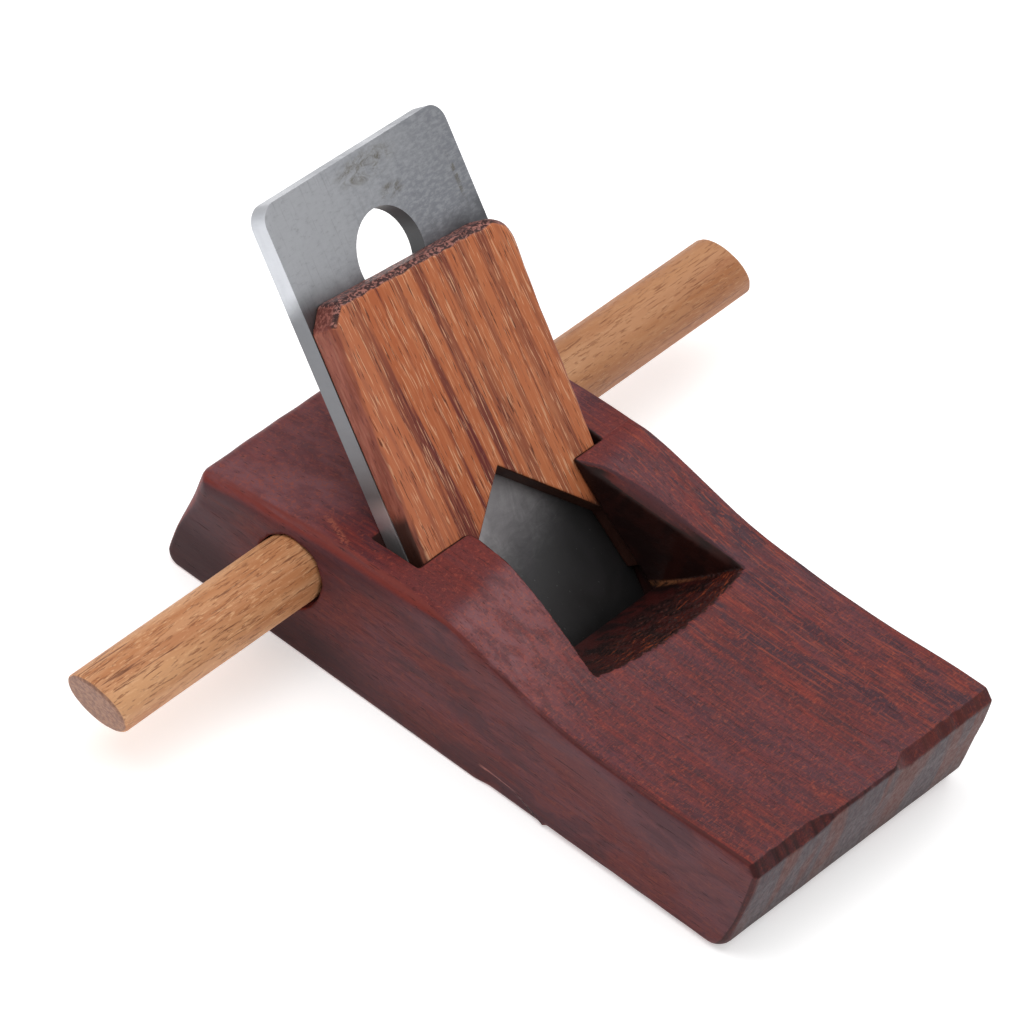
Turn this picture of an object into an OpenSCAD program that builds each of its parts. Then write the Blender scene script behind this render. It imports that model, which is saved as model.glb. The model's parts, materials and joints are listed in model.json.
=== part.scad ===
// Small Chinese-style wooden hand plane with a push-through cross handle.
// Frame: +X points to the toe (direction of cut), +Z up, sole at z = 0,
// origin on the sole plane at the middle of the body's length and width.
// Pieces: wooden body, steel iron, forked wooden wedge, round cross handle.

/* [Body] */
// Overall length of the wooden body, heel to toe, mm
body_length = 108.6; // [90:0.1:140]
// Width of the wooden body, mm
body_width = 61; // [54:0.5:70]
// Height of the crown of the top, at the wedge, mm
crown_height = 22.7; // [19:0.1:28]
// Height of the flat part of the top at the toe, mm
toe_height = 18.3; // [15:0.1:19]
// Position of the crown along the body, mm
crown_x = -13; // [-20:0.5:-8]
// Radius of the top behind the crown, mm
rear_top_radius = 230; // [150:5:300]
// Radius of the top just ahead of the crown, mm
front_top_radius = 75; // [60:1:120]
// Radius of the hollow that runs from the crown to the toe, mm
hollow_radius = 140; // [90:5:200]
// Radius of the rounded upper heel edge, mm
heel_top_round = 1.6; // [1:0.1:5]
// Radius of the rounded lower heel edge, mm
heel_low_round = 2.5; // [1:0.5:4]
// Radius of the rounded lower toe edge, mm
toe_low_round = 2.5; // [1:0.5:4]
// Width of the bevel along the upper toe edge, mm
toe_bevel = 1.3; // [0.5:0.1:3]

/* [Iron seat and throat] */
// Angle between the sole and the bed the iron lies on, degrees
bed_angle = 45; // [40:1:50]
// Position of the cutting edge along the sole, mm
edge_x = 1; // [-4:0.5:6]
// Gap between the cutting edge and the front of the mouth, mm
mouth_gap = 0.6; // [0.3:0.1:2]
// Height of the upright land at the front of the mouth, mm
mouth_land = 7; // [3:0.5:9]
// Angle between the front wall above the land and the vertical, degrees
front_wall_angle = 46.5; // [30:0.5:50]
// Half opening between the cheeks at the abutment on the -Y side, mm
cheek_near_back = 11.6; // [8:0.1:18]
// Half opening at the front corner on the -Y side, mm
cheek_near_front = 16; // [12:0.1:21]
// Half opening between the cheeks at the abutment on the +Y side, mm
cheek_far_back = 15.2; // [8:0.1:18]
// Half opening at the front corner on the +Y side, mm
cheek_far_front = 21; // [12:0.1:22]
// Running clearance round the iron and the wedge, mm
seat_clearance = 0.05; // [0.02:0.01:0.15]

/* [Iron] */
// Width of the iron, mm
iron_width = 44; // [38:0.5:50]
// Length of the iron from the cutting edge, mm
iron_length = 85.6; // [70:0.1:110]
// Thickness of the iron, mm
iron_thickness = 3; // [2:0.1:4]
// Sharpening angle on the back of the iron, degrees
bevel_angle = 27; // [22:1:33]
// Height of the cutting edge above the sole as drawn, mm
edge_lift = 0.15; // [0.05:0.05:0.5]
// Diameter of the hole near the top of the iron, mm
iron_hole = 14.8; // [8:0.1:18]
// Distance of that hole from the cutting edge, mm
iron_hole_up = 69.2; // [50:0.1:80]
// Radius of the two upper corners of the iron, mm
iron_corner = 3.2; // [1:0.1:8]

/* [Wedge] */
// Width of the wedge, mm
wedge_width = 43.8; // [36:0.1:48]
// Distance of the wedge's upper end from the cutting edge, mm
wedge_top_up = 68; // [50:0.1:80]
// Distance of the wedge's prong ends from the cutting edge, mm
wedge_foot_up = 8; // [5:0.5:14]
// Thickness of the wedge at its upper end, mm
wedge_thickness = 4.6; // [3:0.1:8]
// Taper of the wedge, degrees
wedge_taper = 1.8; // [1:0.1:5]
// Distance of the point of the notch from the cutting edge, mm
notch_up = 34.1; // [26:0.1:40]
// Offset of the point of the notch toward -Y, mm
notch_offset = 0.2; // [0:0.1:2]
// Half of the angle of the notch, degrees
notch_half_angle = 50; // [35:1:60]
// Width of each prong where it leaves the notch, mm
prong_width = 5; // [3:0.1:8]
// Width of each prong at its end, mm
prong_foot = 1.6; // [1:0.1:5]
// Slope of the wedge's upper end across its width, degrees
wedge_top_slope = 3; // [0:0.5:5]
// Radius of the wedge's upper corner on the -Y side, mm
wedge_corner_near = 2.4; // [1:0.1:6]
// Radius of the wedge's upper corner on the +Y side, mm
wedge_corner_far = 4.5; // [1:0.1:6]
// Bevel along the wedge's front edges, mm
wedge_bevel = 1.3; // [0.5:0.1:2]

/* [Cross handle] */
// Diameter of the cross handle, mm
handle_d = 11.4; // [8:0.1:16]
// Length of the cross handle along its axis, mm
handle_length = 158.6; // [120:1:200]
// Height of the handle's axis above the sole, mm
handle_z = 13.1; // [11:0.1:15]
// Position of the handle's axis along the body, mm
handle_x = -33.7; // [-42:0.1:-24]
// How far the handle stands off centre toward +Y, mm
handle_shift = 4; // [-10:0.5:10]
// Radial clearance of the handle in its bore, mm
handle_clearance = 0.05; // [0.02:0.01:0.1]
// Slope of the handle's axis, rising toward +Y, degrees
handle_slope = 0.8; // [0:0.1:1.5]
// Slant of the two parallel end cuts of the handle, degrees
handle_end_slant = 27; // [0:1:35]

/* [Hidden] */
$fn = 96;
eps = 0.01;
reach = 60;
half_length = body_length / 2;
half_width = body_width / 2;
half_iron = iron_width / 2;
half_wedge = wedge_width / 2;
seat_half = half_iron + 6 * seat_clearance;
// centre of the hollow, tangent to the front arc of the crown and to the flat toe
hollow_fall = (front_top_radius + hollow_radius) ^ 2
    - (hollow_radius + toe_height - crown_height + front_top_radius) ^ 2;
hollow_x = crown_x + sqrt(hollow_fall);
// where the crown's front arc passes into the hollow
turn_share = front_top_radius / (front_top_radius + hollow_radius);
turn_x = crown_x + (hollow_x - crown_x) * turn_share;
turn_z = crown_height - front_top_radius
    + (toe_height + hollow_radius - crown_height + front_top_radius) * turn_share;
// the hollow sits this much deeper and its neighbours run this far on, so the three cross
arc_sink = 0.01;
arc_overlap = 3;
// forward lean of the heel face over its height
heel_lean = 0.8;
// centre of the rounded upper heel edge, tangent to the heel face and to the crown
heel_round_x = -half_length + heel_lean + heel_top_round;
heel_round_z = crown_height - rear_top_radius
    + sqrt((rear_top_radius - heel_top_round) ^ 2 - (heel_round_x - crown_x) ^ 2);
heel_turn_x = crown_x
    + (heel_round_x - crown_x) * rear_top_radius / (rear_top_radius - heel_top_round);
// front wall of the throat: upright to the land's height, then sloping forward
front_foot_x = edge_x + mouth_gap;
front_slope = tan(front_wall_angle);
front_corner_z = toe_height + 0.8;
abutment_z = crown_height - 0.3;
abutment_x = edge_x - abutment_z + wedge_at(abutment_z / sin(bed_angle)) / sin(bed_angle);
front_corner_x = front_foot_x + (front_corner_z - mouth_land) * front_slope;

// thickness of the wedge at a distance up the bed from the cutting edge
function wedge_at(up) = wedge_thickness - (wedge_top_up - up) * tan(wedge_taper);

// puts a shape on the bed: -x runs up the bed from the cutting edge, z stands off it
module on_bed() {
    translate([edge_x, 0, 0])
        rotate([0, bed_angle, 0])
            children();
}

// puts a shape on the handle's axis: +y runs along it, rising a little
module on_handle_axis() {
    translate([handle_x, 0, handle_z])
        rotate([handle_slope, 0, 0])
            children();
}

// extrudes a side-view outline (x, z) across the plane's width
module across(y_from, y_to) {
    translate([0, y_to, 0])
        rotate([90, 0, 0])
            linear_extrude(y_to - y_from)
                children();
}

// quarter-round corner waste; the corner sits at the origin, material toward +x +y
module corner_waste(r) {
    difference() {
        translate([-1, -1])
            square(r + 1);
        translate([r, r])
            circle(r);
    }
}

// side view of the body: heel, crown, hollow and flat toe, joined arc to arc
module body_side_outline() {
    difference() {
        union() {
            // heel, with its rounded upper edge
            translate([-half_length, 0])
                square([heel_turn_x + half_length + eps, heel_round_z]);
            intersection() {
                translate([-half_length, 0])
                    square([heel_turn_x + half_length + eps, crown_height]);
                translate([heel_round_x, heel_round_z])
                    circle(heel_top_round);
            }
            // rear of the crown
            intersection() {
                translate([heel_turn_x, 0])
                    square([crown_x - heel_turn_x + eps, crown_height]);
                translate([crown_x, crown_height - rear_top_radius])
                    circle(rear_top_radius, $fn = 720);
            }
            // front of the crown
            intersection() {
                translate([crown_x, 0])
                    square([turn_x - crown_x + arc_overlap, crown_height]);
                translate([crown_x, crown_height - front_top_radius])
                    circle(front_top_radius, $fn = 720);
            }
            // hollow
            difference() {
                translate([turn_x, 0])
                    square([hollow_x - turn_x + eps, turn_z]);
                translate([hollow_x, toe_height - arc_sink + hollow_radius])
                    circle(hollow_radius, $fn = 1440);
            }
            // flat top at the toe
            translate([hollow_x - arc_overlap, 0])
                square([half_length - hollow_x + arc_overlap, toe_height]);
        }
        // the heel face leans forward a little above its lower edge
        polygon([
            [-half_length - 1, 2 * heel_low_round],
            [-half_length, 2 * heel_low_round],
            [-half_length + heel_lean, heel_round_z],
            [-half_length + heel_lean, crown_height],
            [-half_length - 1, crown_height]
        ]);
        translate([-half_length, 0])
            corner_waste(heel_low_round);
        translate([half_length, 0])
            mirror([1, 0])
                corner_waste(toe_low_round);
        // bevel along the upper toe edge
        polygon([
            [half_length - toe_bevel, toe_height + 1],
            [half_length - toe_bevel, toe_height],
            [half_length, toe_height - toe_bevel],
            [half_length + 1, toe_height - toe_bevel],
            [half_length + 1, toe_height + 1]
        ]);
    }
}

// everything behind the front wall of the throat, as a side-view outline
module behind_front_wall() {
    polygon([
        [front_foot_x, -reach],
        [front_foot_x, mouth_land],
        [front_foot_x + reach * front_slope, mouth_land + reach],
        [-reach, mouth_land + reach],
        [-reach, -reach]
    ]);
}

// slot that holds the iron and the wedge, full width down to the mouth
module seat() {
    foot_gap = wedge_at(0) + seat_clearance;
    head_gap = wedge_at(reach) + seat_clearance;
    intersection() {
        on_bed()
            across(-seat_half, seat_half)
                polygon([
                    [reach, -iron_thickness - seat_clearance],
                    [reach, foot_gap - reach * tan(wedge_taper)],
                    [-reach, head_gap],
                    [-reach, -iron_thickness - seat_clearance]
                ]);
        across(-half_width, half_width)
            behind_front_wall();
    }
}

// upright wall of a cheek as a half space; side = -1 or 1
module inside_cheek(side, back_half, front_half) {
    run = front_corner_x - abutment_x;
    flare = (front_half - back_half) / run;
    // the opening widens to the seat width at the mouth
    tilt = (seat_half - back_half + flare * (abutment_x - front_foot_x)) / abutment_z;
    x_a = -reach;
    x_b = reach;
    translate([front_foot_x, side * seat_half, 0])
        rotate([0, 0, side * atan(flare)])
            rotate([side * atan(tilt * cos(atan(flare))), 0, 0])
                translate([x_a, side > 0 ? -reach : 0, -reach])
                    cube([x_b - x_a, reach, 2 * reach]);
}

// side view of the throat ahead of the iron, down through the mouth
module throat_side_outline() {
    intersection() {
        behind_front_wall();
        polygon([
            [reach, -1],
            [edge_x - iron_thickness, -1],
            [edge_x - iron_thickness - reach, reach - 1],
            [reach, reach]
        ]);
    }
}

// open throat between the cheeks, from the wedge forward to the front wall
module throat() {
    intersection() {
        across(-half_width, half_width)
            throat_side_outline();
        inside_cheek(-1, cheek_near_back, cheek_near_front);
        inside_cheek(1, cheek_far_back, cheek_far_front);
    }
}

module body() {
    color([0.30, 0.13, 0.11])
        difference() {
            across(-half_width, half_width)
                body_side_outline();
            seat();
            throat();
            on_handle_axis()
                rotate([90, 0, 0])
                    cylinder(h = body_width + 2, r = handle_d / 2 + handle_clearance, center = true);
        }
}

module iron() {
    foot_up = edge_lift / sin(bed_angle);
    bevel_run = iron_thickness / tan(bevel_angle);
    color([0.55, 0.56, 0.58])
        on_bed()
            translate([-foot_up, 0, 0])
                difference() {
                    translate([0, 0, -iron_thickness])
                        linear_extrude(iron_thickness)
                            difference() {
                                translate([-iron_length, -half_iron])
                                    square([iron_length, iron_width]);
                                translate([-iron_hole_up, 0])
                                    circle(d = iron_hole);
                                translate([-iron_length, -half_iron])
                                    corner_waste(iron_corner);
                                translate([-iron_length, half_iron])
                                    mirror([0, 1])
                                        corner_waste(iron_corner);
                            }
                    across(-half_iron - 1, half_iron + 1)
                        polygon([
                            [eps, eps],
                            [-bevel_run, -iron_thickness],
                            [-bevel_run, -iron_thickness - 1],
                            [1, -iron_thickness - 1],
                            [1, eps]
                        ]);
                }
}

// front view of the wedge: x = -distance up the bed
module wedge_outline() {
    skew = half_wedge * tan(wedge_top_slope);
    prong_inside = half_wedge - prong_width;
    foot_inside = half_wedge - prong_foot;
    near_shoulder = notch_up - (prong_inside - notch_offset) / tan(notch_half_angle);
    far_shoulder = notch_up - (prong_inside + notch_offset) / tan(notch_half_angle);
    difference() {
        polygon([
            [-wedge_foot_up, -half_wedge],
            [-wedge_foot_up, half_wedge],
            [-wedge_top_up + skew, half_wedge],
            [-wedge_top_up - skew, -half_wedge]
        ]);
        polygon([
            [-notch_up, -notch_offset],
            [-far_shoulder, prong_inside],
            [-wedge_foot_up, foot_inside],
            [0, foot_inside],
            [0, -foot_inside],
            [-wedge_foot_up, -foot_inside],
            [-near_shoulder, -prong_inside]
        ]);
        translate([-wedge_top_up - skew, -half_wedge])
            corner_waste(wedge_corner_near);
        translate([-wedge_top_up + skew, half_wedge])
            mirror([0, 1])
                corner_waste(wedge_corner_far);
    }
}

module wedge() {
    thin = wedge_at(0);
    thick = wedge_at(2 * reach);
    color([0.62, 0.30, 0.17])
        on_bed()
            intersection() {
                translate([0, 0, seat_clearance])
                    linear_extrude(thick)
                        wedge_outline();
                // tapered front face with a bevel along each side
                translate([0, 0, thin])
                    rotate([0, wedge_taper, 0])
                        rotate([0, -90, 0])
                            linear_extrude(2 * reach)
                                polygon([
                                    [-thick, -half_wedge],
                                    [-wedge_bevel, -half_wedge],
                                    [0, -half_wedge + wedge_bevel],
                                    [0, half_wedge - wedge_bevel],
                                    [-wedge_bevel, half_wedge],
                                    [-thick, half_wedge]
                                ]);
            }
}

module cross_handle() {
    slab = handle_length * cos(handle_end_slant);
    color([0.72, 0.50, 0.28])
        on_handle_axis()
            translate([0, handle_shift, 0])
                intersection() {
                    rotate([90, 0, 0])
                        cylinder(h = 2 * handle_length, d = handle_d, center = true);
                    rotate([handle_end_slant, 0, 0])
                        cube([2 * handle_d, slab, 2 * handle_length], center = true);
                }
}

body();
iron();
wedge();
cross_handle();
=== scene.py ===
"""Looks of the small wooden hand plane: body, iron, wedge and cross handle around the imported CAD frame.

Shapes are worked out in millimetres in the frame's own axes (+X toe, +Z up, sole at z = 0) and
turned into metres when a mesh is made. The body and the wedge are solids given as distance
fields, so that their arrises can be rounded, chipped and rough-cut like carved wood.
"""

import json
import math

import bpy
import bmesh
import numpy as np
from mathutils import Matrix, Vector


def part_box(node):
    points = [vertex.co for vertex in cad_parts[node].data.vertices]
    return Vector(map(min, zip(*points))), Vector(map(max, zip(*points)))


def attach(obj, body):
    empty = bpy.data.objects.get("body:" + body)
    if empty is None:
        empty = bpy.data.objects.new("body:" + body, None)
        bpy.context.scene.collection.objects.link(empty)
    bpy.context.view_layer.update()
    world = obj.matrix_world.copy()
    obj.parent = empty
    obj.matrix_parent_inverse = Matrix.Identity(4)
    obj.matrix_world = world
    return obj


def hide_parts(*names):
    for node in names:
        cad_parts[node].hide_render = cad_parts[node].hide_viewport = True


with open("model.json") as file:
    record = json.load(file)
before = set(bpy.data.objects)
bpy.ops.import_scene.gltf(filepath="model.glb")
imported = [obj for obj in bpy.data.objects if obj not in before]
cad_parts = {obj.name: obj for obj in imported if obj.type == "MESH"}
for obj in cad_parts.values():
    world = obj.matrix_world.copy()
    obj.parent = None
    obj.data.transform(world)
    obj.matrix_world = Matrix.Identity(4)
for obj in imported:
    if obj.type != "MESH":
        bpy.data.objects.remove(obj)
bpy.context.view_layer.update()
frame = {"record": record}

MM = 0.001


def span_mm(node):
    """Lowest and highest corner of a CAD node in millimetres."""
    low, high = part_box(node)
    return np.array(low) / MM, np.array(high) / MM


# ---------------------------------------------------------------- sizes, mm
BODY_LOW, BODY_HIGH = span_mm("body")
IRON_HIGH = span_mm("iron")[1]
WEDGE_HIGH = span_mm("wedge")[1]
HANDLE_LOW, HANDLE_HIGH = span_mm("cross_handle")

HALF_LENGTH = BODY_HIGH[0]
HALF_WIDTH = BODY_HIGH[1]
CROWN_Z = BODY_HIGH[2]
TOE_OUT = 0.7            # the toe's far corner stands past the CAD body by this much
TOE_SKEW = 1.5           # and its near corner lies this far behind the far one
TOE_Z = 17.75
RIDGE_X = -10.5          # the ridge along the middle of the body, and how it runs askew
RIDGE_SKEW = 0.115
REAR_RADIUS = 250
FALL = 0.205             # how steeply the top falls ahead of the ridge
FALL_Z = 20.45           # about the height of that fall at x = 0
LAND_Z = 7.0             # the throat's front wall is upright up to here
MOUTH_GAP = 0.6

BED_ANGLE = math.radians(45)
BED_SIN, BED_COS = math.sin(BED_ANGLE), math.cos(BED_ANGLE)
EDGE_X = 1.0
HALF_IRON = IRON_HIGH[1]
HALF_WEDGE = WEDGE_HIGH[1]
SEAT_HALF = HALF_IRON + 0.3
CLEARANCE = 0.05

EDGE_LIFT = 0.15         # the iron's edge sits this far above the sole at rest
IRON_START = EDGE_LIFT / BED_SIN
IRON_LENGTH = 85.6
IRON_THICKNESS = 3.0
IRON_CORNER_R = 3.2
IRON_HOLE_R = 7.4
IRON_HOLE_UP = 69.2 + IRON_START
GRIND_ANGLE = math.radians(27)

WEDGE_TOP_UP = 68.0
WEDGE_FOOT_UP = 8.0
WEDGE_THICKNESS = 4.6
WEDGE_TAPER = math.tan(math.radians(1.8))
WEDGE_TOP_SLOPE = math.tan(math.radians(3))
WEDGE_CORNER_R = 4.8     # the rounded far corner at the top
WEDGE_CUT = 3.3          # the cut-off near corner
WEDGE_BEVEL = 0.95
NOTCH_ANGLE = math.radians(50)
NOTCH_UP = 34.1
NOTCH_Y = -0.2
PRONG_INSIDE = 17.0

# the handle's axis rises a little toward +Y, and both its ends are cut off at the same slant
SLIDE = next(j for j in frame["record"]["behaviour"]["joints"] if j["name"] == "handle_slide")
HANDLE_RISE = SLIDE["axis"][2] / SLIDE["axis"][1]
HANDLE_SLANT = math.tan(math.radians(27))
HANDLE_X = (HANDLE_LOW[0] + HANDLE_HIGH[0]) / 2
HANDLE_MID_Y = (HANDLE_LOW[1] + HANDLE_HIGH[1]) / 2
HANDLE_Z = (HANDLE_LOW[2] + HANDLE_HIGH[2]) / 2 - HANDLE_RISE * HANDLE_MID_Y
HANDLE_R = (HANDLE_HIGH[0] - HANDLE_LOW[0]) / 2


# ---------------------------------------------------------------- field arithmetic
def round_max(a, b, r):
    """What two solids share, with the edge between them rounded to radius r."""
    return np.minimum(np.maximum(a, b), -r) + np.hypot(np.maximum(a + r, 0), np.maximum(b + r, 0))


def soft_max(a, b, k):
    """Larger of two values, blended over a difference of k."""
    h = np.maximum(k - np.abs(a - b), 0) / k
    return np.maximum(a, b) + h * h * k / 4


def soft_min(a, b, k):
    """Smaller of two values, blended over a difference of k."""
    return -soft_max(-a, -b, k)


def ease(low, high, x):
    """Smooth step from 0 at low to 1 at high."""
    t = np.clip((x - low) / (high - low), 0, 1)
    return t * t * (3 - 2 * t)


def ripple(x, y, z, lengths, seed, waves=8):
    """Seeded waviness of about -1 to 1, with a typical wavelength for each axis."""
    draw = np.random.default_rng(seed)
    total = 0
    for _ in range(waves):
        kx, ky, kz = draw.normal(size=3) * 2 * math.pi / np.array(lengths)
        total = total + np.sin(kx * x + ky * y + kz * z + draw.uniform(0, 2 * math.pi))
    return total / math.sqrt(waves)


def wedge_at(up):
    """Thickness of the wedge at a distance up the bed from the cutting edge."""
    return WEDGE_THICKNESS - (WEDGE_TOP_UP - up) * WEDGE_TAPER


# ---------------------------------------------------------------- body
SPLINTER_MID = 12.5      # where the crack bends down, and its height there
SPLINTER_Z = 2.7
SPLINTER_END = 18.4      # where the chipped part of the lower edge starts
SPLINTER_REAR = 0.07     # how steeply the crack falls behind the bend, and ahead of it
SPLINTER_FRONT = 0.37


def splinter_z(x):
    """Height of the crack above the lower near edge."""
    steep = np.where(x < SPLINTER_MID, SPLINTER_REAR, SPLINTER_FRONT)
    return SPLINTER_Z + steep * (SPLINTER_MID - x)


def far_cheek_at(x):
    """Half width of the throat's far side, where it opens at the top."""
    return 15.6 + 0.223 * (x + 14.2)


def ridge_at(y):
    """Position along the body of the crown's transverse ridge."""
    return RIDGE_X - RIDGE_SKEW * y


def top_height(x, y):
    """Height of the body's top: long rear arc, ridge, straight fall, nearly flat toe."""
    ridge_x = ridge_at(y)
    rear = CROWN_Z - np.minimum(x - ridge_x, 0) ** 2 / (2 * REAR_RADIUS)
    fall = CROWN_Z + 0.15 - FALL * (x - ridge_x)
    toe = TOE_Z + 0.55 * ease(30, 56, x)
    far_lift = 0.4 * ease(8, 28, y) * ease(-16, -8, x) * ease(26, 16, x)
    far_lift = far_lift + 0.5 * ease(8, 28, y) * ease(30, 50, x)
    return soft_max(soft_min(rear, fall, 0.2), toe, 1.4) + far_lift


def body_block(x, y, z):
    """The body before the throat, the seat and the bore are cut."""
    top = top_height(x, y)
    lid = (z - top) / 1.01
    # the toe and the heel lean: the toe inward toward the sole, the heel inward toward the top
    toe_x = HALF_LENGTH + TOE_OUT - TOE_SKEW * (HALF_WIDTH - y) / (2 * HALF_WIDTH)
    toe = x - toe_x + 1.2 * np.clip((13 - z) / 13, 0, 1)
    heel = -(x + HALF_LENGTH) + 1.0 * np.clip((z - 2) / 15, 0, 1)
    block = round_max(round_max(toe, -z, 3.2), heel, 2.4)
    block = round_max(block, lid, 0.3 + 1.3 * ease(0, -20, x))
    # uneven bevel along the upper toe edge: wide on the near side, then thin, then wide again
    width = 0.45 + 1.3 * ease(-9, -16, y) + 1.4 * ease(4.2, 8.0, y) - 0.3 * ease(6, 30, y)
    width = width + 0.08 * ripple(x, y, z, (20, 5, 20), 5)
    block = round_max(block, (toe + z - top + width) / math.sqrt(2), 0.15)
    upper = ease(6, 14, z)
    near = -y - HALF_WIDTH
    far = y - HALF_WIDTH
    near_round = 0.7 + (0.5 + 1.9 * ease(-6, -16, x)) * upper
    near_round = near_round + 1.1 * ease(9, 0, z) * ease(42, 52, x)
    block = round_max(block, near, near_round)
    block = round_max(block, far, 0.75)
    # lower near edge: chipped away ahead of a lifted splinter
    chip = 1.1 + 0.05 * ripple(x, y, z, (12, 9, 9), 11)
    chip = chip - 2.6 * ease(SPLINTER_END + 0.6, SPLINTER_END, x)
    block = round_max(block, (near - z + chip) / math.sqrt(2), 0.15)
    below = ease(0.25, -0.25, z - splinter_z(x))
    below = below * ease(5.5, 9, x) * ease(SPLINTER_END + 0.5, SPLINTER_END, x)
    return block + 0.35 * below * ease(2.5, 0.5, -near)


def front_wall(x, y, z):
    """Void behind the front wall of the throat; negative inside the void."""
    foot_x = EDGE_X + MOUTH_GAP
    front_x = 15.8 - 0.0062 * (y - 3) ** 2
    slope = (front_x - foot_x) / 11.6
    fibres = 0.07 * ripple(x, y, z, (9, 5, 3), 21) + 0.06 * ripple(x, y, z, (3, 2.2, 1.1), 22)
    sloped = (x - foot_x - slope * (z - LAND_Z)) / np.sqrt(1 + slope ** 2)
    return np.minimum(x - foot_x, sloped + fibres * ease(8, 11, z))


def throat_void(x, y, z, stand_off):
    """Open throat between the two cheeks, which narrows to the seat; negative inside the void."""
    depth = np.clip(1 - z / 21, 0, 1)
    near_half = 11.4 + 0.085 * (x + 14) + 0.0031 * np.maximum(x + 14, 0) ** 2
    far_half = far_cheek_at(x)
    near = -y - (near_half + (SEAT_HALF - near_half) * depth)
    far = (y - (far_half + (SEAT_HALF - far_half) * depth ** 1.6)) * 0.93
    void = round_max(near, far, 0.2)
    void = round_max(void, front_wall(x, y, z), 0.4)
    return np.maximum(void, -(stand_off + IRON_THICKNESS + CLEARANCE))


def cheek_bevel(x, y, z):
    """Sloping waste taken off the inner arris of the far cheek; negative inside the waste."""
    outer_half = 22.4 - 6.6 * np.exp(-np.maximum(x + 15.3, -3) / 11)
    inner_half = far_cheek_at(x)
    width = np.maximum(outer_half - inner_half, 0.6)
    drop = 1.3 * ease(-16.2, -12, x) * ease(14.2, 10.5, x)
    plane = top_height(x, y) - drop * np.minimum((outer_half - y) / width, 1)
    beside = np.maximum(inner_half - 0.8 - y, np.maximum(x - 14.5, -16.5 - x))
    return np.maximum(plane - z + 0.02, beside)


def body_field(x, y, z):
    up = -(x - EDGE_X) * BED_COS + z * BED_SIN
    stand_off = (x - EDGE_X) * BED_SIN + z * BED_COS
    side_gap = np.where(y < 0, 1.7, 0.3) * ease(11, 17, z)
    seat = round_max(np.abs(y) - SEAT_HALF - side_gap, stand_off - wedge_at(up) - CLEARANCE, 0.1)
    seat = np.maximum(seat, -(stand_off + IRON_THICKNESS + CLEARANCE))
    seat = np.maximum(seat, front_wall(x, y, z))
    throat = throat_void(x, y, z, stand_off)
    # the two lobes that hold the wedge are rounded where the throat meets the seat
    lobe = round_max(-seat, -throat, 0.5 + np.where(y < 0, 0.9, 0.0))
    block = body_block(x, y, z) + 0.05 * ripple(x, y, z, (34, 26, 20), 3) * ease(0.5, 4, z)
    solid = round_max(block, lobe, 0.4)
    solid = round_max(solid, -cheek_bevel(x, y, z), 0.3)
    bore_r = HANDLE_R + CLEARANCE
    near_rim = ease(2.4, 0.0, y + HALF_WIDTH)
    forward = np.clip((x - HANDLE_X) / 5, 0, 1)
    bore_r = bore_r + near_rim * (0.3 * forward + 0.15 + 0.1 * ripple(x, y, z, (3, 3, 3), 31))
    bore = np.hypot(x - HANDLE_X, z - HANDLE_Z - HANDLE_RISE * y) - bore_r
    return round_max(solid, -bore, 0.25)


# ---------------------------------------------------------------- wedge, in the bed's own axes
def wedge_field(x, y, z):
    """x = minus the distance up the bed, z = distance off the bed."""
    up = -x
    top = (up - WEDGE_TOP_UP + y * WEDGE_TOP_SLOPE) * 0.9986
    face = z - wedge_at(up)
    outline = round_max(y - HALF_WEDGE, top, WEDGE_CORNER_R)
    outline = round_max(outline, -y - HALF_WEDGE, 0.3)
    outline = round_max(outline, (top - y - HALF_WEDGE + WEDGE_CUT) / math.sqrt(2), 0.5)
    plate = round_max(outline, WEDGE_FOOT_UP - up, 0.4)
    notch = np.abs(y - NOTCH_Y) * math.cos(NOTCH_ANGLE) - (NOTCH_UP - up) * math.sin(NOTCH_ANGLE)
    prong_inside = PRONG_INSIDE + 0.235 * np.maximum(24 - up, 0)
    notch = round_max(notch, np.abs(y) - prong_inside, 0.2)
    plate = round_max(plate, -notch, 0.2)
    face = face + 0.05 * ripple(x, y, z, (30, 9, 30), 41) * ease(36, 46, up)
    bevel = (outline + face + WEDGE_BEVEL + 0.12 * ripple(x, y, z, (12, 4, 9), 42)) / math.sqrt(2)
    solid = round_max(plate, face, 0.3)
    solid = round_max(solid, bevel, 0.3)
    return round_max(solid, CLEARANCE - z, 0.15)


# ---------------------------------------------------------------- meshes from fields
def slope_of(field, points, reach):
    """Gradient of the field at each point, by central differences."""
    slope = np.empty_like(points)
    for axis in range(3):
        shift = np.zeros(3)
        shift[axis] = reach
        ahead = field(*(points + shift).T)
        behind = field(*(points - shift).T)
        slope[:, axis] = (ahead - behind) / (2 * reach)
    return slope


def settle(field, points, step, rounds):
    """Moves points onto the field's surface, by at most one step in each round."""
    for _ in range(rounds):
        slope = slope_of(field, points, 0.03)
        size = np.maximum((slope ** 2).sum(1), 0.05)
        move = np.clip(field(*points.T) / size, -step, step)
        points = points - slope * move[:, None]
    return points


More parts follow.
